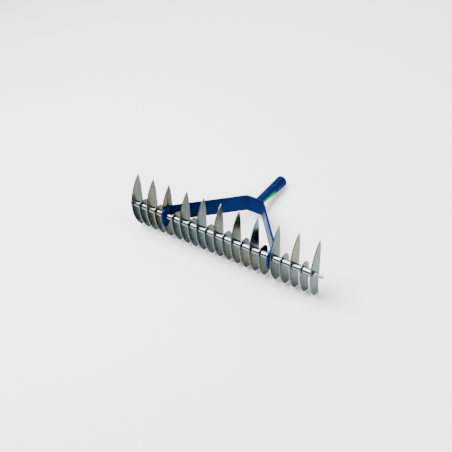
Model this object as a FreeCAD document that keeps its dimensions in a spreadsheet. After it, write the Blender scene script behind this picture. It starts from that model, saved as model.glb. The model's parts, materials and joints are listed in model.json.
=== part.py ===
import FreeCAD, Part
import math
import os
import Sketcher
from FreeCAD import Placement, Rotation, Vector

# Thatch rake head: a row of crescent blades on a tie rod, carried by a bent strip yoke with a
# welded conical handle socket.  Each part is drawn about the rod centre (X along the rod, +Y to
# the handle, +Z to the long points), then the whole head is laid down on the floor.

os.makedirs("parts", exist_ok=True)
doc = FreeCAD.newDocument("ThatchRakeHead")
sheet = doc.addObject("Spreadsheet::Sheet", "Sizes")

SIZES = {
    "blade_thickness": 2.0,
    "blade_hole_radius": 4.05,
    "spacer_radius": 6.75,
    "spacer_bore_radius": 4.2,
    "spacer_length": 18.0,
    "strip_thickness": 4.0,
    "strip_width": 34.0,
    "lug_hole_radius": 4.075,
    "bend_inner_radius": 5.0,
    "bend_outer_radius": 9.0,
    "socket_hole_radius": 2.5,
    "socket_hole_distance": 72.0,
    "nut_hex_height": 6.0,
    "nut_bore_radius": 3.03,
    "nut_bore_depth": 12.0,
    "weld_foot_radius": 11.5,
    "weld_top_radius": 8.6,
    "weld_height": 4.0,
    "label_angle": 160.0,
}

PITCH = 20.0
LAST_BLADE = 20
LUG_GAP = 4.2
FRONT_LUG_BLADE = 4
REAR_LUG_BLADE = 16
LUG_CENTRE = 121.1
ROW_END = 205.2
FLAT_BACK = 134.0
SOCKET_TILT = 4.3
LIE_ANGLE = 14.434

# Outlines run counter-clockwise: name, first axis, second axis, radius of the edge that follows
# (0 straight, negative hollow).
PRONG = [
    ("nose", -10.0, -2.0, 78.0),
    ("heel", 12.5, -57.5, 0.0),
    ("toe", 29.0, -58.5, -90.0),
    ("notch", 24.0, -24.0, 0.0),
]
LONG_BLADE = [("tip", 16.5, 60.0, 95.0)] + PRONG + [
    ("rear_low", 23.5, -6.0, 0.0),
    ("rear_high", 22.0, 24.0, 140.0),
]
SHORT_BLADE = [
    ("crown_rear", 8.0, 11.5, 0.0),
    ("crown_front", 0.0, 11.5, 9.0),
    ("brow", -9.8, 3.0, 0.0),
] + PRONG + [
    ("rear_low", 22.0, -6.0, 0.0),
    ("shoulder", 19.5, 4.0, 14.0),
]
LUG = [
    ("top_rear", 9.0, 17.0, 0.0),
    ("top_front", -3.0, 17.0, 13.0),
    ("face_high", -14.0, 5.0, 0.0),
    ("face_low", -13.0, -12.0, 0.0),
    ("foot_front", -8.0, -23.0, 0.0),
    ("foot_rear", 1.0, -23.5, 0.0),
    ("step", 7.0, -17.0, 0.0),
    ("low_rear", 9.0, -17.0, 0.0),
]
STRIP = [
    ("left_out", -123.1, 2.0, 0.0),
    ("left_in", -119.1, 2.0, 0.0),
    ("left_bend_in", -119.1, 10.15, 0.0),
    ("left_flat_in", -17.6, 130.0, 0.0),
    ("right_flat_in", 17.6, 130.0, 0.0),
    ("right_bend_in", 119.1, 10.15, 0.0),
    ("right_in", 119.1, 2.0, 0.0),
    ("right_out", 123.1, 2.0, 0.0),
    ("right_bend_out", 123.1, 11.6, 0.0),
    ("right_flat_out", 19.5, 134.0, 0.0),
    ("left_flat_out", -19.5, 134.0, 0.0),
    ("left_bend_out", -123.1, 11.6, 0.0),
]
SOCKET = [
    ("base_in", 0.0, 6.2, 0.0),
    ("lead_in", 87.4, 10.5, 0.0),
    ("flare", 102.4, 10.5, 0.0),
    ("mouth_in", 103.0, 10.9, 0.0),
    ("mouth_out", 103.0, 12.5, 0.0),
    ("base_out", 0.0, 8.0, 0.0),
]
LABEL = [
    ("start_in", 16.0, 8.6990, 0.0),
    ("end_in", 60.0, 10.6213, 0.0),
    ("end_out", 60.0, 10.7713, 0.0),
    ("start_out", 16.0, 8.8490, 0.0),
]
HEXAGON = [
    ("corner_top", 0.0, 5.7735, 0.0),
    ("corner_left_high", -5.0, 2.8868, 0.0),
    ("corner_left_low", -5.0, -2.8868, 0.0),
    ("corner_bottom", 0.0, -5.7735, 0.0),
    ("corner_right_low", 5.0, -2.8868, 0.0),
    ("corner_right_high", 5.0, 2.8868, 0.0),
]
COLLAR = [
    ("axis_low", 5.5, 0.0, 0.0),
    ("axis_top", 8.5, 0.0, 0.0),
    ("rim_top", 8.5, 4.0, 0.0),
    ("rim_side", 8.0, 4.6, 0.0),
    ("foot", 5.5, 4.6, 0.0),
]
ROD = [
    ("left_axis", -214.0, 0.0, 0.0),
    ("right_axis", 223.5, 0.0, 0.0),
    ("right_tip", 223.5, 2.2, 0.0),
    ("right_thread", 222.3, 3.0, 0.0),
    ("right_root", 204.8, 3.0, 0.0),
    ("right_shoulder", 204.8, 4.0, 0.0),
    ("left_shoulder", -204.8, 4.0, 0.0),
    ("left_root", -204.8, 3.0, 0.0),
    ("left_thread", -213.4, 3.0, 0.0),
    ("left_tip", -214.0, 2.4, 0.0),
]
OUTLINES = {
    "long": LONG_BLADE,
    "short": SHORT_BLADE,
    "lug": LUG,
    "strip": STRIP,
    "socket": SOCKET,
    "label": LABEL,
    "hexagon": HEXAGON,
    "collar": COLLAR,
    "rod": ROD,
}


def fill_sheet():
    rows = dict(SIZES)
    for family, outline in OUTLINES.items():
        for name, first, second, radius in outline:
            rows[f"{family}_{name}_u"] = first
            rows[f"{family}_{name}_v"] = second
            if radius:
                rows[f"{family}_{name}_curve"] = abs(radius)
    for row, (name, value) in enumerate(rows.items(), start=1):
        sheet.set(f"A{row}", name)
        sheet.set(f"B{row}", str(value))
        sheet.setAlias(f"B{row}", name)
    doc.recompute()


def new_body(label):
    body = doc.addObject("PartDesign::Body", label)
    body.Label = label
    return body


def sketch_on(body, role, name, lift=0.0):
    plane = next(f for f in body.Origin.OriginFeatures if f.Role == role)
    sketch = body.newObject("Sketcher::SketchObject", f"{body.Name}_{name}")
    sketch.AttachmentSupport = [(plane, "")]
    sketch.MapMode = "FlatFace"
    sketch.AttachmentOffset = Placement(Vector(0, 0, lift), Rotation())
    return sketch


def arc_between(start, end, radius):
    chord = end - start
    half = chord.Length / 2
    left = Vector(-chord.y, chord.x, 0).normalize()
    rise = math.sqrt(radius * radius - half * half)
    centre = (start + end) / 2 + left * math.copysign(rise, radius)
    first, last = (start, end) if radius > 0 else (end, start)
    angle_first = math.atan2(first.y - centre.y, first.x - centre.x)
    angle_last = math.atan2(last.y - centre.y, last.x - centre.x)
    circle = Part.Circle(centre, Vector(0, 0, 1), abs(radius))
    return Part.ArcOfCircle(circle, angle_first, angle_last)


def draw_outline(sketch, family):
    outline = OUTLINES[family]
    count = len(outline)
    points = [Vector(u, v, 0) for _, u, v, _ in outline]
    for k, (_, _, _, radius) in enumerate(outline):
        start, end = points[k], points[(k + 1) % count]
        edge = arc_between(start, end, radius) if radius else Part.LineSegment(start, end)
        sketch.addGeometry(edge, False)
    for k, (name, u, v, radius) in enumerate(outline):
        here = 2 if radius < 0 else 1
        before = (k - 1) % count
        arrival = 1 if outline[before][3] < 0 else 2
        sketch.addConstraint(Sketcher.Constraint("Coincident", before, arrival, k, here))
        for kind, value, suffix in (("DistanceX", u, "u"), ("DistanceY", v, "v")):
            index = sketch.addConstraint(Sketcher.Constraint(kind, -1, 1, k, here, value))
            sketch.renameConstraint(index, f"{name}_{suffix}")
            sketch.setExpression(f"Constraints.{name}_{suffix}", f"Sizes.{family}_{name}_{suffix}")
        if radius:
            index = sketch.addConstraint(Sketcher.Constraint("Radius", k, abs(radius)))
            sketch.renameConstraint(index, f"{name}_curve")
            sketch.setExpression(f"Constraints.{name}_curve", f"Sizes.{family}_{name}_curve")


def draw_circle(sketch, size, centre=Vector(0, 0, 0)):
    circle = Part.Circle(centre, Vector(0, 0, 1), SIZES[size])
    edge = sketch.addGeometry(circle, False)
    index = sketch.addConstraint(Sketcher.Constraint("Radius", edge, SIZES[size]))
    sketch.renameConstraint(index, size)
    sketch.setExpression(f"Constraints.{size}", f"Sizes.{size}")
    if centre.Length:
        sketch.addConstraint(Sketcher.Constraint("DistanceX", -1, 1, edge, 3, centre.x))
        sketch.addConstraint(Sketcher.Constraint("DistanceY", -1, 1, edge, 3, centre.y))
    else:
        sketch.addConstraint(Sketcher.Constraint("Coincident", edge, 3, -1, 1))


def pad(body, sketch, name, length):
    feature = body.newObject("PartDesign::Pad", f"{body.Name}_{name}")
    feature.Profile = sketch
    feature.setExpression("Length", length)
    sketch.Visibility = False
    return feature


def pocket(body, sketch, name, length):
    before = body.Shape.Volume
    feature = body.newObject("PartDesign::Pocket", f"{body.Name}_{name}")
    feature.Profile = sketch
    feature.setExpression("Length", length)
    sketch.Visibility = False
    doc.recompute()
    if body.Shape.Volume > before - 1e-3:
        feature.Reversed = True
        doc.recompute()
    if body.Shape.Volume > before - 1e-3:
        raise RuntimeError(f"{feature.Name} removes nothing")
    return feature


def revolve(body, sketch, name, angle=360.0):
    feature = body.newObject("PartDesign::Revolution", f"{body.Name}_{name}")
    feature.Profile = sketch
    feature.ReferenceAxis = (sketch, ["H_Axis"])
    feature.Angle = angle
    sketch.Visibility = False
    return feature


def plate_with_hole(label, family, hole, thickness):
    body = new_body(label)
    sketch = sketch_on(body, "YZ_Plane", "outline", -SIZES[thickness] / 2)
    draw_outline(sketch, family)
    draw_circle(sketch, hole)
    pad(body, sketch, "plate", f"Sizes.{thickness}")
    return body


def tube(label):
    body = new_body(label)
    sketch = sketch_on(body, "YZ_Plane", "ring", -SIZES["spacer_length"] / 2)
    draw_circle(sketch, "spacer_radius")
    draw_circle(sketch, "spacer_bore_radius")
    pad(body, sketch, "wall", "Sizes.spacer_length")
    return body


def rod(label):
    body = new_body(label)
    profile = sketch_on(body, "XY_Plane", "profile")
    draw_outline(profile, "rod")
    revolve(body, profile, "shaft")
    return body


def lock_nut(label):
    body = new_body(label)
    hexagon = sketch_on(body, "YZ_Plane", "hexagon")
    draw_outline(hexagon, "hexagon")
    pad(body, hexagon, "hex", "Sizes.nut_hex_height")
    collar = sketch_on(body, "XY_Plane", "collar")
    draw_outline(collar, "collar")
    revolve(body, collar, "crown")
    doc.recompute()
    bore = sketch_on(body, "YZ_Plane", "bore")
    draw_circle(bore, "nut_bore_radius")
    pocket(body, bore, "thread_bore", "Sizes.nut_bore_depth")
    return body


def vertical_edges(shape, corners):
    found = []
    for number, edge in enumerate(shape.Edges, start=1):
        start, end = edge.Vertexes[0].Point, edge.Vertexes[-1].Point
        upright = abs(start.z - end.z) > 1 and abs(start.x - end.x) + abs(start.y - end.y) < 1e-6
        if upright and any(math.hypot(start.x - x, start.y - y) < 0.01 for x, y in corners):
            found.append(f"Edge{number}")
    return found


def corners_named(words):
    return [(u, v) for name, u, v, _ in STRIP if any(name.endswith(w) for w in words)]


def round_bends(body, base, name, words, radius):
    fillet = body.newObject("PartDesign::Fillet", f"{body.Name}_{name}")
    fillet.Base = (base, vertical_edges(base.Shape, corners_named(words)))
    fillet.setExpression("Radius", radius)
    doc.recompute()
    return fillet


def yoke(label):
    body = new_body(label)
    strip = sketch_on(body, "XY_Plane", "strip", -SIZES["strip_width"] / 2)
    draw_outline(strip, "strip")
    arms = pad(body, strip, "arms", "Sizes.strip_width")
    doc.recompute()
    inner = round_bends(body, arms, "bend_in", ("bend_in", "flat_in"), "Sizes.bend_inner_radius")
    round_bends(body, inner, "bend_out", ("bend_out", "flat_out"), "Sizes.bend_outer_radius")
    for side, centre in (("left", -LUG_CENTRE), ("right", LUG_CENTRE)):
        base = centre - SIZES["strip_thickness"] / 2
        lug = sketch_on(body, "YZ_Plane", f"{side}_lug", base)
        draw_outline(lug, "lug")
        pad(body, lug, f"{side}_plate", "Sizes.strip_thickness")
        doc.recompute()
        hole = sketch_on(body, "YZ_Plane", f"{side}_hole", base + SIZES["strip_thickness"])
        draw_circle(hole, "lug_hole_radius")
        pocket(body, hole, f"{side}_bore", "Sizes.strip_thickness")
    return body


def socket(label):
    body = new_body(label)
    wall = sketch_on(body, "YZ_Plane", "wall")
    draw_outline(wall, "socket")
    revolve(body, wall, "cone")
    doc.recompute()
    hole = sketch_on(body, "XY_Plane", "screw_hole", 20.0)
    draw_circle(hole, "socket_hole_radius", Vector(0, SIZES["socket_hole_distance"], 0))
    pocket(body, hole, "screw_bore", "20")
    return body


def label_skin(label):
    body = new_body(label)
    skin = sketch_on(body, "YZ_Plane", "skin")
    draw_outline(skin, "label")
    revolve(body, skin, "wrap").setExpression("Angle", "Sizes.label_angle")
    return body


def weld_bead(label):
    blank = doc.addObject("Part::Cone", "weld_blank")
    blank.setExpression("Radius1", "Sizes.weld_foot_radius")
    blank.setExpression("Radius2", "Sizes.weld_top_radius")
    blank.setExpression("Height", "Sizes.weld_height")
    blank.Placement = Placement(Vector(0, FLAT_BACK, 0), Rotation(Vector(1, 0, 0), -90))
    core = doc.addObject("Part::Cone", "weld_core")
    slope = (12.5 - 8.0) / 103.0
    core.Radius1 = 8.0 - 3.0 * slope
    core.Radius2 = 8.0 + 20.0 * slope
    core.Height = 23.0
    tilt = Placement(SOCKET_SEAT, Rotation(Vector(1, 0, 0), SOCKET_TILT))
    core.Placement = tilt * Placement(Vector(0, -3.0, 0), Rotation(Vector(1, 0, 0), -90))
    bead = doc.addObject("Part::Cut", label)
    bead.Label = label
    bead.Base = blank
    bead.Tool = core
    return bead


def blade_position(number):
    x = (number - LAST_BLADE / 2) * PITCH
    if number <= FRONT_LUG_BLADE:
        return x - LUG_GAP
    if number >= REAR_LUG_BLADE:
        return x + LUG_GAP
    return x


def spacer_position(number):
    left, right = blade_position(number), blade_position(number + 1)
    if number == FRONT_LUG_BLADE:
        return right - PITCH / 2
    if number == REAR_LUG_BLADE - 1:
        return left + PITCH / 2
    return (left + right) / 2


fill_sheet()
SOCKET_SEAT = Vector(0, FLAT_BACK + 8.0 * math.sin(math.radians(SOCKET_TILT)), 0)
pieces = {}

for number in range(LAST_BLADE + 1):
    shift = Placement(Vector(blade_position(number), 0, 0), Rotation())
    if number % 2 == 0:
        node = f"blade_long_{number // 2 + 1:02d}"
        body = plate_with_hole(node, "long", "blade_hole_radius", "blade_thickness")
    else:
        node = f"blade_short_{number // 2 + 1:02d}"
        body = plate_with_hole(node, "short", "blade_hole_radius", "blade_thickness")
    pieces[node] = (body, shift)

for number in range(LAST_BLADE):
    node = f"spacer_{number + 1:02d}"
    shift = Placement(Vector(spacer_position(number), 0, 0), Rotation())
    pieces[node] = (tube(node), shift)

tilted = Placement(SOCKET_SEAT, Rotation(Vector(1, 0, 0), SOCKET_TILT))
roll_label = Placement(Vector(0, 0, 0), Rotation(Vector(0, 1, 0), 75))
turn_about = Rotation(Vector(0, 0, 1), 180)
pieces["tie_rod"] = (rod("tie_rod"), Placement())
right_end = Placement(Vector(ROW_END, 0, 0), Rotation())
left_end = Placement(Vector(-ROW_END, 0, 0), turn_about)
pieces["lock_nut_right"] = (lock_nut("lock_nut_right"), right_end)
pieces["lock_nut_left"] = (lock_nut("lock_nut_left"), left_end)
pieces["yoke"] = (yoke("yoke"), Placement())
pieces["handle_socket"] = (socket("handle_socket"), tilted)
pieces["maker_label"] = (label_skin("maker_label"), tilted * roll_label)
pieces["weld_bead"] = (weld_bead("weld_bead"), Placement())
doc.recompute()

# Lay the head down: the prong ends and the lower rim of the socket mouth touch the floor.
lie = Placement(Vector(0, 0, 0), Rotation(Vector(1, 0, 0), -LIE_ANGLE))
for item, local in pieces.values():
    item.Placement = lie * local
doc.recompute()
boxes = [item.Shape.optimalBoundingBox() for item, _ in pieces.values()]
drop = Vector(
    -(min(b.XMin for b in boxes) + max(b.XMax for b in boxes)) / 2,
    -(min(b.YMin for b in boxes) + max(b.YMax for b in boxes)) / 2,
    -min(b.ZMin for b in boxes),
)
settle = Placement(drop, Rotation())
for item, local in pieces.values():
    item.Placement = settle * lie * local
doc.recompute()

for item in doc.Objects:
    if "Invalid" in item.State or "Error" in item.State:
        raise RuntimeError(f"{item.Name} did not build: {item.State}")

for node, (item, _) in pieces.items():
    shape = item.Shape
    if shape.isNull() or not shape.isValid() or len(shape.Solids) != 1:
        raise RuntimeError(f"{node} is not one valid solid")
    shape.exportStep(f"parts/{node}.step")

print("pieces", len(pieces), "shift", [round(v, 4) for v in drop])
print("size", [
    round(max(b.XMax for b in boxes) - min(b.XMin for b in boxes), 3),
    round(max(b.YMax for b in boxes) - min(b.YMin for b in boxes), 3),
    round(max(b.ZMax for b in boxes) - min(b.ZMin for b in boxes), 3),
])
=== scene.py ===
"""Thatch rake head: crescent blades on a tie rod, a bent yoke and a conical handle socket."""

import json
import math

import bpy
from bpy.props import FloatProperty, FloatVectorProperty, IntProperty, PointerProperty
from bpy.types import Operator, Panel, PropertyGroup
from mathutils import Matrix, Vector

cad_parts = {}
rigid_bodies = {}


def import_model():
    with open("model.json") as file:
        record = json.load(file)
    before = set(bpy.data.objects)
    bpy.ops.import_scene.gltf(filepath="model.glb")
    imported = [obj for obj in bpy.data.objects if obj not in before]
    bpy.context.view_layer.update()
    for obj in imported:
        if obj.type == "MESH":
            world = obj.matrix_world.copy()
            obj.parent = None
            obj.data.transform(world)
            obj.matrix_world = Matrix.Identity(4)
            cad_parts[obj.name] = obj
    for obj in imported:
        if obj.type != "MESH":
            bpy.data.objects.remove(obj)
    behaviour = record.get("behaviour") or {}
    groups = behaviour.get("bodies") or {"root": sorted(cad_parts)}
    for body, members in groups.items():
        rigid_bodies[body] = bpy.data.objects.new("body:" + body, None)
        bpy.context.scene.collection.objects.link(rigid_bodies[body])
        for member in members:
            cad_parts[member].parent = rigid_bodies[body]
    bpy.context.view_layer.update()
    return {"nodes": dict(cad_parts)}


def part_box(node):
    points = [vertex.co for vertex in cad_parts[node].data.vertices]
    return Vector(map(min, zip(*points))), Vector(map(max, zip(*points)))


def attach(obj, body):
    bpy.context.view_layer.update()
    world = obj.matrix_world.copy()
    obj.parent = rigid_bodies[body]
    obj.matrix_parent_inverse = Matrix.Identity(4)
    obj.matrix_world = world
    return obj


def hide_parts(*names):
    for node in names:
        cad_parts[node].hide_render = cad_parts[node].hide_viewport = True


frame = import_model()

bl_info = {
    "name": "Thatch Rake Head",
    "version": (1, 0, 0),
    "blender": (4, 5, 0),
    "location": "View3D > Sidebar > Rake",
    "description": "Builds a thatch rake head around its fixed frame",
    "category": "Add Mesh",
}

MM = 0.001
BACK_SHARE = 0.4
ROD_LOW, ROD_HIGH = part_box("tie_rod")
YOKE_LOW, YOKE_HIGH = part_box("yoke")
# The rod's axis, midway between the two lugs of the yoke.
HINGE = (ROD_LOW + ROD_HIGH) / 2
HINGE.x = (YOKE_LOW.x + YOKE_HIGH.x) / 2
YOKE_BODY = "yoke_frame"
ROW_BODY = "blade_row"
LONG_NODES = [f"blade_long_{n:02d}" for n in range(1, 12)]
SHORT_NODES = [f"blade_short_{n:02d}" for n in range(1, 11)]
SPACER_NODES = [f"spacer_{n:02d}" for n in range(1, 21)]


# --------------------------------------------------------------------------- settings


class BladeSettings(PropertyGroup):
    edge_round: FloatProperty(
        name="Edge round", description="Rounding of the stamped blade edges",
        default=0.45 * MM, min=0.0, unit="LENGTH",
    )
    edge_steps: IntProperty(
        name="Edge steps", description="Facets across one rounded edge", default=3, min=1,
    )


class SpacerSettings(PropertyGroup):
    wall: FloatProperty(
        name="Wall", description="Wall thickness of a spacer tube",
        default=2.5 * MM, min=0.0, unit="LENGTH",
    )
    rim_round: FloatProperty(
        name="Rim round", description="Rounding of the cut tube ends",
        default=0.45 * MM, min=0.0, unit="LENGTH",
    )
    facets: IntProperty(
        name="Facets", description="Facets around one tube", default=64, min=12,
    )


class YokeSettings(PropertyGroup):
    edge_round: FloatProperty(
        name="Edge round", description="Rounding of the painted strip edges",
        default=0.8 * MM, min=0.0, unit="LENGTH",
    )
    edge_steps: IntProperty(
        name="Edge steps", description="Facets across one rounded edge", default=3, min=1,
    )


class SocketSettings(PropertyGroup):
    base_radius: FloatProperty(
        name="Base radius", description="Outer radius of the cone at the yoke",
        default=8.0 * MM, unit="LENGTH",
    )
    mouth_radius: FloatProperty(
        name="Mouth radius", description="Outer radius of the cone at the handle end",
        default=12.5 * MM, unit="LENGTH",
    )
    length: FloatProperty(
        name="Length", description="Length of the cone along its own axis",
        default=103.0 * MM, unit="LENGTH",
    )
    wall: FloatProperty(
        name="Wall", description="Thickness of the rolled sheet",
        default=1.6 * MM, unit="LENGTH",
    )
    hole_radius: FloatProperty(
        name="Screw hole radius", description="Hole for the handle screw",
        default=2.5 * MM, unit="LENGTH",
    )
    hole_distance: FloatProperty(
        name="Screw hole distance", description="From the yoke to the handle screw",
        default=72.0 * MM, unit="LENGTH",
    )
    rim_round: FloatProperty(
        name="Rim round", description="Rounding of the two cut ends",
        default=0.5 * MM, min=0.0, unit="LENGTH",
    )
    seam_width: FloatProperty(
        name="Seam width", description="Width of the groove where the rolled sheet meets",
        default=0.6 * MM, unit="LENGTH",
    )
    seam_depth: FloatProperty(
        name="Seam cut", description="Thickness of the tool that cuts the seam groove",
        default=1.2 * MM, unit="LENGTH",
    )


class WeldSettings(PropertyGroup):
    ring_radius: FloatProperty(
        name="Ring radius", description="Centre line of the weld around the socket",
        default=9.0 * MM, min=0.0, unit="LENGTH",
    )
    bead_radius: FloatProperty(
        name="Bead radius", description="Half the thickness of the weld bead",
        default=2.0 * MM, min=0.0, unit="LENGTH",
    )
    ripples: IntProperty(
        name="Ripples", description="Ripples once around the weld", default=40, min=1,
    )
    ripple_height: FloatProperty(
        name="Ripple height", description="How far a ripple stands out",
        default=0.35 * MM, min=0.0, unit="LENGTH",
    )


class SmallPartSettings(PropertyGroup):
    nut_round: FloatProperty(
        name="Nut round", description="Rounding of the edges of the lock nuts",
        default=0.35 * MM, min=0.0, unit="LENGTH",
    )
    label_corner: FloatProperty(
        name="Label corner", description="Corner radius of the film label",
        default=3.0 * MM, min=0.0, unit="LENGTH",
    )
    label_edge: FloatProperty(
        name="Label edge", description="Edges shorter than this run through the film",
        default=0.2 * MM, min=0.0, unit="LENGTH",
    )


class PoseSettings(PropertyGroup):
    lie_angle: FloatProperty(
        name="Lie angle", description="Dip of the yoke towards the handle when it lies flat",
        default=math.radians(-14.434), subtype="ANGLE", unit="ROTATION",
    )
    socket_tilt: FloatProperty(
        name="Socket tilt", description="Rise of the socket from the plane of the yoke",
        default=math.radians(4.3), subtype="ANGLE", unit="ROTATION",
    )
    flat_distance: FloatProperty(
        name="Flat distance", description="From the rod centre to the back of the yoke flat",
        default=134.6 * MM, unit="LENGTH",
    )


class FinishSettings(PropertyGroup):
    zinc_colour: FloatVectorProperty(
        name="Zinc", description="Colour of the plated blades",
        default=(0.080, 0.096, 0.093), size=3, subtype="COLOR", min=0.0, max=1.0,
    )
    bright_colour: FloatVectorProperty(
        name="Bright zinc", description="Colour of the spacers, rod and nuts",
        default=(0.17, 0.20, 0.21), size=3, subtype="COLOR", min=0.0, max=1.0,
    )
    paint_colour: FloatVectorProperty(
        name="Paint", description="Colour of the yoke and socket",
        default=(0.003, 0.010, 0.052), size=3, subtype="COLOR", min=0.0, max=1.0,
    )
    label_colour: FloatVectorProperty(
        name="Label", description="Colour of the film label",
        default=(0.001, 0.14, 0.012), size=3, subtype="COLOR", min=0.0, max=1.0,
    )


class StageSettings(PropertyGroup):
    floor_size: FloatProperty(
        name="Floor size", description="Side of the square floor", default=12.0, unit="LENGTH",
    )
    floor_colour: FloatVectorProperty(
        name="Floor", description="Colour of the floor",
        default=(0.78, 0.78, 0.78), size=3, subtype="COLOR", min=0.0, max=1.0,
    )
    key_power: FloatProperty(
        name="Key power", description="Power of the large soft light",
        default=200.0, unit="POWER",
    )
    fill_power: FloatProperty(
        name="Fill power", description="Power of the side light; the back light gets a share",
        default=60.0, unit="POWER",
    )
    sky_colour: FloatVectorProperty(
        name="Sky", description="Colour of the even light from all around",
        default=(0.90, 0.96, 1.0), size=3, subtype="COLOR", min=0.0, max=1.0,
    )
    sky_strength: FloatProperty(
        name="Sky strength", description="Strength of the even light", default=0.5, min=0.0,
    )
    camera_place: FloatVectorProperty(
        name="Camera place", description="Where the camera stands",
        default=(0.55069, -0.67568, 0.85666), size=3, subtype="TRANSLATION", unit="LENGTH",
    )
    camera_turn: FloatVectorProperty(
        name="Camera turn", description="How the camera is turned",
        default=(math.radians(45.036), math.radians(8.519), math.radians(34.459)),
        size=3, subtype="EULER", unit="ROTATION",
    )
    camera_lens: FloatProperty(
        name="Camera lens", description="Focal length in millimetres", default=47.78,
    )


# --------------------------------------------------------------------------- materials


def socket_in(group, name, kind, value=None):
    made = group.interface.new_socket(name=name, in_out="INPUT", socket_type=kind)
    if value is not None:
        made.default_value = value


def socket_out(group, name, kind):
    group.interface.new_socket(name=name, in_out="OUTPUT", socket_type=kind)


def add_node(tree, kind, inputs=None, **settings):
    node = tree.nodes.new(kind)
    for name, value in settings.items():
        setattr(node, name, value)
    for name, value in (inputs or {}).items():
        if isinstance(value, bpy.types.NodeSocket):
            tree.links.new(value, node.inputs[name])
        else:
            node.inputs[name].default_value = value
    return node


def ramp(tree, factor, stops):
    node = add_node(tree, "ShaderNodeValToRGB", {"Fac": factor})
    while len(node.color_ramp.elements) < len(stops):
        node.color_ramp.elements.new(1.0)
    for element, (place, colour) in zip(node.color_ramp.elements, stops):
        element.position = place
        element.color = (*colour, 1.0) if isinstance(colour, tuple) else (colour,) * 3 + (1.0,)
    return node.outputs["Color"]


def cloud_group():
    """Soft blotches and fine specks in the part's own coordinates."""
    group = bpy.data.node_groups.new("soft_clouds", "ShaderNodeTree")
    socket_in(group, "Scale", "NodeSocketFloat", 40.0)
    socket_in(group, "Stretch", "NodeSocketVector", (1.0, 1.0, 1.0))
    socket_out(group, "Clouds", "NodeSocketFloat")
    socket_out(group, "Specks", "NodeSocketFloat")
    start = group.nodes.new("NodeGroupInput")
    place = add_node(group, "ShaderNodeTexCoord").outputs["Object"]
    stretched = add_node(
        group, "ShaderNodeVectorMath", {0: place, 1: start.outputs["Stretch"]},
        operation="MULTIPLY",
    ).outputs["Vector"]
    clouds = add_node(
        group, "ShaderNodeTexNoise",
        {"Vector": stretched, "Scale": start.outputs["Scale"], "Detail": 4.0, "Roughness": 0.55},
    )
    fine = add_node(
        group, "ShaderNodeMath", {0: start.outputs["Scale"], 1: 14.0}, operation="MULTIPLY"
    )
    specks = add_node(
        group, "ShaderNodeTexNoise",
        {"Vector": stretched, "Scale": fine.outputs[0], "Detail": 2.0, "Roughness": 0.6},
    )
    end = group.nodes.new("NodeGroupOutput")
    group.links.new(clouds.outputs["Fac"], end.inputs["Clouds"])
    group.links.new(specks.outputs["Fac"], end.inputs["Specks"])
    return group


def scuff_group():
    """Fine crossing scuffs: thin bright threads of stretched noise."""
    group = bpy.data.node_groups.new("handling_scuffs", "ShaderNodeTree")
    socket_in(group, "Scale", "NodeSocketFloat", 120.0)
    socket_in(group, "Turn", "NodeSocketVector", (0.4, 0.2, 0.1))
    socket_out(group, "Scuffs", "NodeSocketFloat")
    start = group.nodes.new("NodeGroupInput")
    place = add_node(group, "ShaderNodeTexCoord").outputs["Object"]
    threads = []
    for extra in (0.0, 1.1):
        turn = add_node(
            group, "ShaderNodeVectorMath",
            {0: start.outputs["Turn"], 1: (extra, extra * 0.7, 0.0)}, operation="ADD",
        )
        mapped = add_node(
            group, "ShaderNodeMapping",
            {"Vector": place, "Rotation": turn.outputs["Vector"], "Scale": (1.0, 1.0, 0.06)},
        )
        noise = add_node(
            group, "ShaderNodeTexNoise",
            {"Vector": mapped.outputs["Vector"], "Scale": start.outputs["Scale"],
             "Detail": 2.0, "Distortion": 0.6},
        )
        threads.append(ramp(group, noise.outputs["Fac"], [(0.70, 0.0), (0.78, 1.0)]))
    both = add_node(
        group, "ShaderNodeMath", {0: threads[0], 1: threads[1]}, operation="MAXIMUM"
    )
    end = group.nodes.new("NodeGroupOutput")
    group.links.new(both.outputs[0], end.inputs["Scuffs"])
    return group


def edge_group():
    """Edge mask: rounded corners broken up by noise, used for worn edges and, on the blades, for
    a painted edge highlight.
    """
    group = bpy.data.node_groups.new("edge_wear_and_highlight", "ShaderNodeTree")
    socket_in(group, "Reach", "NodeSocketFloat", 0.0012)
    socket_in(group, "Breakup", "NodeSocketFloat", 0.5)
    socket_out(group, "Edges", "NodeSocketFloat")
    start = group.nodes.new("NodeGroupInput")
    place = add_node(group, "ShaderNodeTexCoord").outputs["Object"]
    facing = add_node(group, "ShaderNodeNewGeometry").outputs["True Normal"]
    rounded = add_node(group, "ShaderNodeBevel", {"Radius": start.outputs["Reach"]}, samples=6)
    agree = add_node(
        group, "ShaderNodeVectorMath", {0: facing, 1: rounded.outputs["Normal"]},
        operation="DOT_PRODUCT",
    )
    turned = add_node(
        group, "ShaderNodeMath", {0: 0.97, 1: agree.outputs["Value"]}, operation="SUBTRACT"
    )
    strong = add_node(
        group, "ShaderNodeMath", {0: turned.outputs[0], 1: 9.0},
        operation="MULTIPLY", use_clamp=True,
    )
    noise = add_node(
        group, "ShaderNodeTexNoise", {"Vector": place, "Scale": 260.0, "Detail": 5.0}
    )
    broken = add_node(
        group, "ShaderNodeMath",
        {0: noise.outputs["Fac"], 1: start.outputs["Breakup"]}, operation="SUBTRACT",
    )
    soft = add_node(
        group, "ShaderNodeMath", {0: broken.outputs[0], 1: 6.0},
        operation="MULTIPLY", use_clamp=True,
    )
    mask = add_node(
        group, "ShaderNodeMath", {0: strong.outputs[0], 1: soft.outputs[0]},
        operation="MULTIPLY", use_clamp=True,
    )
    end = group.nodes.new("NodeGroupOutput")
    group.links.new(mask.outputs[0], end.inputs["Edges"])
    return group


def shared(name):
    makers = {
        "soft_clouds": cloud_group,
        "handling_scuffs": scuff_group,
        "edge_wear_and_highlight": edge_group,
    }
    return bpy.data.node_groups.get(name) or makers[name]()


def use_group(tree, name, inputs):
    node = tree.nodes.new("ShaderNodeGroup")
    node.node_tree = shared(name)
    for key, value in inputs.items():
        node.inputs[key].default_value = value
    return node


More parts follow.
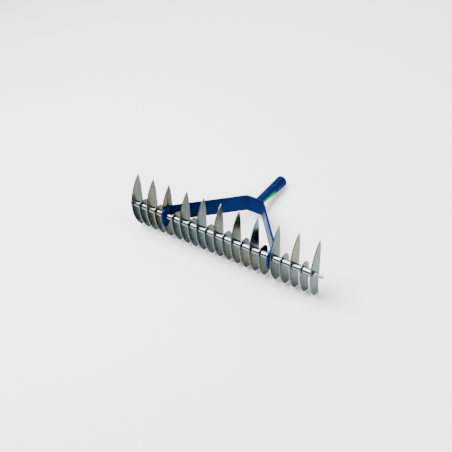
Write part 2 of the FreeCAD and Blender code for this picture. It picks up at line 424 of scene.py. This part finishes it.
def new_material(name):
    material = bpy.data.materials.get(name)
    if material:
        return material, None, None
    material = bpy.data.materials.new(name)
    material.use_nodes = True
    tree = material.node_tree
    return material, tree, tree.nodes["Principled BSDF"]


def mix_colour(tree, factor, first, second):
    node = add_node(tree, "ShaderNodeMix", data_type="RGBA")
    for index, value in ((0, factor), (6, first), (7, second)):
        if isinstance(value, bpy.types.NodeSocket):
            tree.links.new(value, node.inputs[index])
        elif index == 0:
            node.inputs[index].default_value = value
        else:
            node.inputs[index].default_value = (*value, 1.0)
    return node.outputs[2]


def scaled(colour, factor):
    return tuple(min(1.0, channel * factor) for channel in colour)


def plated_blade():
    """Bright zinc on stamped sheet: cloudy sheen, faint straw and blue tints, fine scuffs, and
    lighter edges that are partly worn plating and partly a painted highlight.
    """
    material, tree, surface = new_material("plated_blade")
    if tree is None:
        return material
    finish = bpy.context.scene.rake_finish
    base = tuple(finish.zinc_colour)
    clouds = use_group(tree, "soft_clouds", {"Scale": 38.0, "Stretch": (1.0, 1.0, 0.6)})
    tint = use_group(tree, "soft_clouds", {"Scale": 17.0, "Stretch": (0.6, 1.0, 1.0)})
    scuffs = use_group(tree, "handling_scuffs", {"Scale": 150.0, "Turn": (0.5, 0.1, 0.2)})
    edges = use_group(tree, "edge_wear_and_highlight", {"Reach": 0.0010, "Breakup": 0.24})
    straw = (base[0] * 1.50, base[1] * 1.15, base[2] * 0.80)
    blue = (base[0] * 0.75, base[1] * 1.05, base[2] * 1.30)
    tinted = ramp(
        tree, tint.outputs["Clouds"],
        [(0.36, blue), (0.46, base), (0.52, base), (0.62, straw)],
    )
    shaded = mix_colour(
        tree, ramp(tree, clouds.outputs["Clouds"], [(0.35, 0.0), (0.70, 0.75)]),
        tinted, scaled(base, 0.72),
    )
    # Lighter edges: partly worn plating, partly a painted highlight along nearly every blade
    # edge.
    wear_and_highlight_colour = mix_colour(tree, edges.outputs["Edges"], shaded, scaled(base, 2.4))
    tree.links.new(wear_and_highlight_colour, surface.inputs["Base Color"])
    surface.inputs["Specular Tint"].default_value = (0.74, 0.80, 0.79, 1.0)
    surface.inputs["Metallic"].default_value = 1.0
    rough = ramp(tree, clouds.outputs["Clouds"], [(0.30, 0.20), (0.70, 0.36)])
    scuffed = mix_colour(tree, scuffs.outputs["Scuffs"], rough, (0.46, 0.46, 0.46))
    tree.links.new(scuffed, surface.inputs["Roughness"])
    grain = add_node(
        tree, "ShaderNodeBump",
        {"Height": clouds.outputs["Specks"], "Strength": 0.10, "Distance": 0.0002},
    )
    marks = add_node(
        tree, "ShaderNodeBump",
        {"Height": scuffs.outputs["Scuffs"], "Strength": 0.12, "Distance": 0.0001,
         "Normal": grain.outputs["Normal"]},
    )
    tree.links.new(marks.outputs["Normal"], surface.inputs["Normal"])
    return material


def bright_turned():
    """Bright plated tube and bar: drawn lines along the rod and faint clouds."""
    material, tree, surface = new_material("bright_turned")
    if tree is None:
        return material
    base = tuple(bpy.context.scene.rake_finish.bright_colour)
    drawn = use_group(tree, "soft_clouds", {"Scale": 160.0, "Stretch": (0.12, 1.0, 1.0)})
    clouds = use_group(tree, "soft_clouds", {"Scale": 55.0, "Stretch": (1.0, 1.0, 1.0)})
    edges = use_group(tree, "edge_wear_and_highlight", {"Reach": 0.0008, "Breakup": 0.34})
    lined = mix_colour(
        tree, ramp(tree, drawn.outputs["Clouds"], [(0.40, 0.0), (0.62, 0.8)]),
        base, scaled(base, 0.78),
    )
    warm = mix_colour(
        tree, ramp(tree, clouds.outputs["Clouds"], [(0.50, 0.0), (0.72, 0.6)]),
        lined, (base[0], base[1] * 0.95, base[2] * 0.82),
    )
    worn = mix_colour(tree, edges.outputs["Edges"], warm, scaled(base, 1.15))
    tree.links.new(worn, surface.inputs["Base Color"])
    surface.inputs["Specular Tint"].default_value = (0.70, 0.78, 0.80, 1.0)
    surface.inputs["Metallic"].default_value = 1.0
    rough = ramp(tree, drawn.outputs["Clouds"], [(0.30, 0.10), (0.72, 0.22)])
    tree.links.new(rough, surface.inputs["Roughness"])
    lines = add_node(
        tree, "ShaderNodeBump",
        {"Height": drawn.outputs["Clouds"], "Strength": 0.16, "Distance": 0.0002},
    )
    tree.links.new(lines.outputs["Normal"], surface.inputs["Normal"])
    return material


def gloss_paint():
    """Blue powder coat: orange peel, rubbed scuffs, and primer grey at worn corners."""
    material, tree, surface = new_material("gloss_paint")
    if tree is None:
        return material
    base = tuple(bpy.context.scene.rake_finish.paint_colour)
    clouds = use_group(tree, "soft_clouds", {"Scale": 26.0, "Stretch": (1.0, 1.0, 1.0)})
    peel = use_group(tree, "soft_clouds", {"Scale": 60.0, "Stretch": (1.0, 1.0, 1.0)})
    scuffs = use_group(tree, "handling_scuffs", {"Scale": 90.0, "Turn": (0.2, 0.6, 0.3)})
    edges = use_group(tree, "edge_wear_and_highlight", {"Reach": 0.0012, "Breakup": 0.56})
    deep = mix_colour(
        tree, ramp(tree, clouds.outputs["Clouds"], [(0.35, 0.0), (0.70, 1.0)]),
        base, scaled(base, 1.45),
    )
    rubbed = mix_colour(
        tree, ramp(tree, scuffs.outputs["Scuffs"], [(0.0, 0.0), (1.0, 0.22)]),
        deep, (0.02, 0.07, 0.18),
    )
    worn = mix_colour(tree, edges.outputs["Edges"], rubbed, (0.16, 0.18, 0.20))
    tree.links.new(worn, surface.inputs["Base Color"])
    rough = ramp(tree, clouds.outputs["Clouds"], [(0.30, 0.22), (0.72, 0.38)])
    scuffed = mix_colour(tree, scuffs.outputs["Scuffs"], rough, (0.5, 0.5, 0.5))
    tree.links.new(scuffed, surface.inputs["Roughness"])
    surface.inputs["Metallic"].default_value = 0.55
    surface.inputs["Specular IOR Level"].default_value = 0.05
    surface.inputs["Specular Tint"].default_value = (0.06, 0.22, 0.60, 1.0)
    orange = add_node(
        tree, "ShaderNodeBump",
        {"Height": peel.outputs["Specks"], "Strength": 0.10, "Distance": 0.0003},
    )
    tree.links.new(orange.outputs["Normal"], surface.inputs["Normal"])
    return material


def label_film():
    """Plain green film, a little faded and lightly scuffed."""
    material, tree, surface = new_material("label_film")
    if tree is None:
        return material
    base = tuple(bpy.context.scene.rake_finish.label_colour)
    clouds = use_group(tree, "soft_clouds", {"Scale": 70.0, "Stretch": (1.0, 1.0, 1.0)})
    scuffs = use_group(tree, "handling_scuffs", {"Scale": 110.0, "Turn": (0.1, 0.3, 0.9)})
    faded = mix_colour(
        tree, ramp(tree, clouds.outputs["Clouds"], [(0.40, 0.0), (0.70, 0.7)]),
        base, (base[0] * 2.0, base[1] * 1.25, base[2] * 1.6),
    )
    rubbed = mix_colour(
        tree, ramp(tree, scuffs.outputs["Scuffs"], [(0.0, 0.0), (1.0, 0.3)]),
        faded, (0.03, 0.20, 0.05),
    )
    tree.links.new(rubbed, surface.inputs["Base Color"])
    surface.inputs["Metallic"].default_value = 0.4
    surface.inputs["Specular IOR Level"].default_value = 0.05
    surface.inputs["Specular Tint"].default_value = (0.04, 0.60, 0.10, 1.0)
    rough = ramp(tree, clouds.outputs["Clouds"], [(0.30, 0.24), (0.72, 0.40)])
    tree.links.new(rough, surface.inputs["Roughness"])
    film = add_node(
        tree, "ShaderNodeBump",
        {"Height": clouds.outputs["Specks"], "Strength": 0.06, "Distance": 0.0002},
    )
    tree.links.new(film.outputs["Normal"], surface.inputs["Normal"])
    return material


# --------------------------------------------------------------------------- modelling


def deselect():
    for thing in bpy.context.view_layer.objects:
        thing.select_set(False)


def only(piece):
    deselect()
    piece.select_set(True)
    bpy.context.view_layer.objects.active = piece


def edit(piece):
    only(piece)
    bpy.ops.object.mode_set(mode="EDIT")


def leave_edit():
    bpy.ops.object.mode_set(mode="OBJECT")


def pick(piece, kind, test):
    """Selects, from object mode, the vertices, edges or faces that pass the test."""
    edit(piece)
    bpy.ops.mesh.select_all(action="DESELECT")
    bpy.ops.mesh.select_mode(type=kind)
    leave_edit()
    mesh = piece.data
    items = {"VERT": mesh.vertices, "EDGE": mesh.edges, "FACE": mesh.polygons}[kind]
    for item in items:
        item.select = test(mesh, item)
    bpy.ops.object.mode_set(mode="EDIT")


def apply_modifiers(piece):
    only(piece)
    for modifier in list(piece.modifiers):
        bpy.ops.object.modifier_apply(modifier=modifier.name)


def merged_copy(node, name):
    source = frame["nodes"][node]
    piece = bpy.data.objects.new(name, source.data.copy())
    bpy.context.collection.objects.link(piece)
    edit(piece)
    bpy.ops.mesh.customdata_custom_splitnormals_clear()
    bpy.ops.mesh.select_all(action="SELECT")
    bpy.ops.mesh.remove_doubles(threshold=2e-6)
    bpy.ops.mesh.dissolve_limited(angle_limit=math.radians(0.4))
    bpy.ops.mesh.normals_make_consistent(inside=False)
    leave_edit()
    return piece


def round_sharp_edges(piece, offset, steps, sharpness=35.0):
    edit(piece)
    bpy.ops.mesh.select_mode(type="EDGE")
    bpy.ops.mesh.select_all(action="DESELECT")
    bpy.ops.mesh.edges_select_sharp(sharpness=math.radians(sharpness))
    bpy.ops.mesh.bevel(offset=offset, segments=steps, profile=0.6, affect="EDGES")
    leave_edit()


def smooth_finish(piece, material, angle=40.0):
    only(piece)
    piece.data.materials.clear()
    piece.data.materials.append(material)
    bpy.ops.object.shade_smooth_by_angle(angle=math.radians(angle))
    weighted = piece.modifiers.new("even_shading", "WEIGHTED_NORMAL")
    weighted.keep_sharp = True
    weighted.weight = 80
    apply_modifiers(piece)


def place_mesh(piece, matrix):
    piece.data.transform(matrix)
    piece.data.update()


def lie_matrix():
    return Matrix.Translation(HINGE) @ Matrix.Rotation(
        bpy.context.scene.rake_pose.lie_angle, 4, "X"
    )


def socket_matrix():
    pose = bpy.context.scene.rake_pose
    return (
        lie_matrix()
        @ Matrix.Translation((0.0, pose.flat_distance, 0.0))
        @ Matrix.Rotation(pose.socket_tilt, 4, "X")
        @ Matrix.Rotation(math.radians(-90.0), 4, "X")
    )


def copies_along_rod(template, source_node, nodes, name, body):
    """One piece per node: the template's mesh, moved along the rod to the node's place."""
    low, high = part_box(source_node)
    home = (low + high) / 2
    for node in nodes:
        low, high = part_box(node)
        piece = bpy.data.objects.new(node.replace(*name), template.data.copy())
        bpy.context.collection.objects.link(piece)
        shift = (low + high) / 2 - home
        piece.data.transform(Matrix.Translation((shift.x, 0.0, 0.0)))
        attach(piece, body)
        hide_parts(node)
    bpy.data.objects.remove(template)


class RAKE_OT_blades(Operator):
    """Stamped blades with rounded edges, long and short"""

    bl_idname = "rake.blades"
    bl_label = "Blades"

    def execute(self, context):
        settings = context.scene.rake_blades
        for home, nodes in (("blade_long_06", LONG_NODES), ("blade_short_05", SHORT_NODES)):
            template = merged_copy(home, "blade_template")
            round_sharp_edges(template, settings.edge_round, settings.edge_steps)
            smooth_finish(template, plated_blade())
            copies_along_rod(
                template, home, nodes, ("blade", "plated_blade"), ROW_BODY
            )
        return {"FINISHED"}


class RAKE_OT_spacers(Operator):
    """Spacer tubes between the blades"""

    bl_idname = "rake.spacers"
    bl_label = "Spacers"

    def execute(self, context):
        settings = context.scene.rake_spacers
        low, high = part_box("spacer_01")
        length, radius = high.x - low.x, (high.z - low.z) / 2
        deselect()
        bpy.ops.mesh.primitive_cylinder_add(
            vertices=settings.facets, radius=radius, depth=length, end_fill_type="NOTHING",
            rotation=(0.0, math.radians(90.0), 0.0), location=(low + high) / 2,
        )
        tube = context.active_object
        bpy.ops.object.transform_apply(location=True, rotation=True, scale=True)
        wall = tube.modifiers.new("wall", "SOLIDIFY")
        wall.thickness = settings.wall
        wall.offset = -1.0
        apply_modifiers(tube)
        round_sharp_edges(tube, settings.rim_round, 3)
        smooth_finish(tube, bright_turned())
        copies_along_rod(
            tube, "spacer_01", SPACER_NODES, ("spacer", "spacer_tube"), ROW_BODY
        )
        return {"FINISHED"}


class RAKE_OT_rod_and_nuts(Operator):
    """The tie rod and its two lock nuts"""

    bl_idname = "rake.rod_and_nuts"
    bl_label = "Rod and nuts"

    def execute(self, context):
        settings = context.scene.rake_small_parts
        rod = frame["nodes"]["tie_rod"]
        rod.data.materials.clear()
        rod.data.materials.append(bright_turned())
        for side in ("left", "right"):
            nut = merged_copy(f"lock_nut_{side}", f"end_nut_{side}")
            round_sharp_edges(nut, settings.nut_round, 3)
            smooth_finish(nut, bright_turned())
            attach(nut, ROW_BODY)
            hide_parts(f"lock_nut_{side}")
        return {"FINISHED"}


class RAKE_OT_yoke(Operator):
    """The bent strip yoke with its two lugs"""

    bl_idname = "rake.yoke"
    bl_label = "Yoke"

    def execute(self, context):
        settings = context.scene.rake_yoke
        yoke = merged_copy("yoke", "painted_yoke")
        round_sharp_edges(yoke, settings.edge_round, settings.edge_steps)
        smooth_finish(yoke, gloss_paint())
        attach(yoke, YOKE_BODY)
        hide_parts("yoke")
        return {"FINISHED"}


class RAKE_OT_socket(Operator):
    """The rolled conical socket with its screw hole and seam"""

    bl_idname = "rake.socket"
    bl_label = "Handle socket"

    def execute(self, context):
        settings = context.scene.rake_socket
        deselect()
        bpy.ops.mesh.primitive_cone_add(
            vertices=128, radius1=settings.base_radius, radius2=settings.mouth_radius,
            depth=settings.length, end_fill_type="NOTHING",
            location=(0.0, 0.0, settings.length / 2),
        )
        cone = context.active_object
        cone.name = "conical_socket"
        bpy.ops.object.transform_apply(location=True, rotation=True, scale=True)
        wall = cone.modifiers.new("wall", "SOLIDIFY")
        wall.thickness = settings.wall
        wall.offset = -1.0
        apply_modifiers(cone)
        round_sharp_edges(cone, settings.rim_round, 3, sharpness=60.0)
        self.cut_hole(context, cone, settings)
        self.cut_seam(context, cone, settings)
        place_mesh(cone, socket_matrix())
        smooth_finish(cone, gloss_paint())
        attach(cone, YOKE_BODY)
        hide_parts("handle_socket")
        return {"FINISHED"}

    def subtract(self, piece, tool):
        cut = piece.modifiers.new("cut", "BOOLEAN")
        cut.operation = "DIFFERENCE"
        cut.solver = "EXACT"
        cut.object = tool
        apply_modifiers(piece)
        bpy.data.objects.remove(tool)

    def cut_hole(self, context, cone, settings):
        deselect()
        bpy.ops.mesh.primitive_cylinder_add(
            vertices=48, radius=settings.hole_radius, depth=12.0 * MM,
            rotation=(math.radians(90.0), 0.0, 0.0),
            location=(0.0, -settings.mouth_radius, settings.hole_distance),
        )
        self.subtract(cone, context.active_object)

    def cut_seam(self, context, cone, settings):
        slope = math.atan2(settings.mouth_radius - settings.base_radius, settings.length)
        middle = (settings.mouth_radius + settings.base_radius) / 2
        deselect()
        bpy.ops.mesh.primitive_cube_add(
            size=1.0, scale=(settings.seam_width, settings.seam_depth, settings.length * 1.2),
            rotation=(-slope, 0.0, 0.0), location=(0.0, middle, settings.length / 2),
        )
        self.subtract(cone, context.active_object)


class RAKE_OT_weld(Operator):
    """The rippled weld between socket and yoke"""

    bl_idname = "rake.weld"
    bl_label = "Weld"

    def execute(self, context):
        settings = context.scene.rake_weld
        pose = context.scene.rake_pose
        deselect()
        bpy.ops.mesh.primitive_torus_add(
            major_segments=120, minor_segments=16,
            major_radius=settings.ring_radius, minor_radius=settings.bead_radius,
        )
        bead = context.active_object
        bead.name = "weld_ring"

        def on_crest(mesh, vertex):
            turn = math.atan2(vertex.co.y, vertex.co.x) / math.tau * settings.ripples
            return abs(turn - round(turn)) < 0.2

        pick(bead, "VERT", on_crest)
        bpy.ops.transform.shrink_fatten(value=settings.ripple_height)
        leave_edit()
        place_mesh(
            bead,
            lie_matrix()
            @ Matrix.Translation((0.0, pose.flat_distance, 0.0))
            @ Matrix.Rotation(math.radians(-90.0), 4, "X"),
        )
        smooth_finish(bead, gloss_paint(), angle=80.0)
        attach(bead, YOKE_BODY)
        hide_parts("weld_bead")
        return {"FINISHED"}


class RAKE_OT_label(Operator):
    """The film label on the socket"""

    bl_idname = "rake.label"
    bl_label = "Label"

    def execute(self, context):
        settings = context.scene.rake_small_parts
        label = merged_copy("maker_label", "film_label")

        def short_edge(mesh, item):
            first, second = (mesh.vertices[v].co for v in item.vertices)
            return (first - second).length < settings.label_edge

        pick(label, "EDGE", short_edge)
        bpy.ops.mesh.bevel(offset=settings.label_corner, segments=6, affect="EDGES")
        leave_edit()
        smooth_finish(label, label_film())
        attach(label, YOKE_BODY)
        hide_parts("maker_label")
        return {"FINISHED"}


class RAKE_OT_stage(Operator):
    """Floor, soft lights and camera"""

    bl_idname = "rake.stage"
    bl_label = "Stage"

    def execute(self, context):
        settings = context.scene.rake_stage
        deselect()
        bpy.ops.mesh.primitive_plane_add(size=settings.floor_size, location=(0.0, 0.0, -0.0003))
        floor = context.active_object
        floor.name = "studio_floor"
        material, tree, surface = new_material("studio_floor")
        surface.inputs["Base Color"].default_value = (*settings.floor_colour, 1.0)
        surface.inputs["Roughness"].default_value = 0.8
        floor.data.materials.append(material)
        world = bpy.data.worlds.new("studio_world")
        context.scene.world = world
        world.use_nodes = True
        background = world.node_tree.nodes["Background"]
        background.inputs["Color"].default_value = (*settings.sky_colour, 1.0)
        background.inputs["Strength"].default_value = settings.sky_strength
        lights = (
            ("key_light", (-0.7, -0.3, 1.9), 1.6, settings.key_power),
            ("fill_light", (1.6, 0.3, 1.5), 1.3, settings.fill_power),
            ("back_light", (-0.6, 1.7, 1.6), 1.5, settings.fill_power * BACK_SHARE),
        )
        for name, place, size, power in lights:
            deselect()
            turn = Vector(place).to_track_quat("Z", "Y").to_euler()
            bpy.ops.object.light_add(type="AREA", location=place, rotation=turn)
            light = context.active_object
            light.name = name
            light.data.size = size
            light.data.energy = power
        deselect()
        bpy.ops.object.camera_add(location=settings.camera_place, rotation=settings.camera_turn)
        camera = context.active_object
        camera.name = "studio_camera"
        camera.data.lens = settings.camera_lens
        camera.data.sensor_width = 36.0
        camera.data.clip_start = 0.01
        context.scene.camera = camera
        return {"FINISHED"}


class RAKE_PT_panel(Panel):
    bl_idname = "RAKE_PT_panel"
    bl_label = "Thatch rake head"
    bl_space_type = "VIEW_3D"
    bl_region_type = "UI"
    bl_category = "Rake"

    def draw(self, context):
        for name in SETTINGS:
            box = self.layout.box()
            group = getattr(context.scene, name)
            for key in group.__annotations__:
                box.prop(group, key)
        for operator in OPERATORS:
            self.layout.operator(operator.bl_idname)


SETTINGS = {
    "rake_blades": BladeSettings,
    "rake_spacers": SpacerSettings,
    "rake_yoke": YokeSettings,
    "rake_socket": SocketSettings,
    "rake_weld": WeldSettings,
    "rake_small_parts": SmallPartSettings,
    "rake_pose": PoseSettings,
    "rake_finish": FinishSettings,
    "rake_stage": StageSettings,
}
OPERATORS = (
    RAKE_OT_blades,
    RAKE_OT_spacers,
    RAKE_OT_rod_and_nuts,
    RAKE_OT_yoke,
    RAKE_OT_socket,
    RAKE_OT_weld,
    RAKE_OT_label,
    RAKE_OT_stage,
)


def register():
    for group in SETTINGS.values():
        bpy.utils.register_class(group)
    for name, group in SETTINGS.items():
        setattr(bpy.types.Scene, name, PointerProperty(type=group))
    for operator in OPERATORS:
        bpy.utils.register_class(operator)
    bpy.utils.register_class(RAKE_PT_panel)


def unregister():
    bpy.utils.unregister_class(RAKE_PT_panel)
    for operator in reversed(OPERATORS):
        bpy.utils.unregister_class(operator)
    for name, group in reversed(list(SETTINGS.items())):
        delattr(bpy.types.Scene, name)
        bpy.utils.unregister_class(group)


def main():
    register()
    bpy.ops.rake.blades()
    bpy.ops.rake.spacers()
    bpy.ops.rake.rod_and_nuts()
    bpy.ops.rake.yoke()
    bpy.ops.rake.socket()
    bpy.ops.rake.weld()
    bpy.ops.rake.label()
    bpy.ops.rake.stage()
    deselect()


if __name__ == "__main__":
    main()
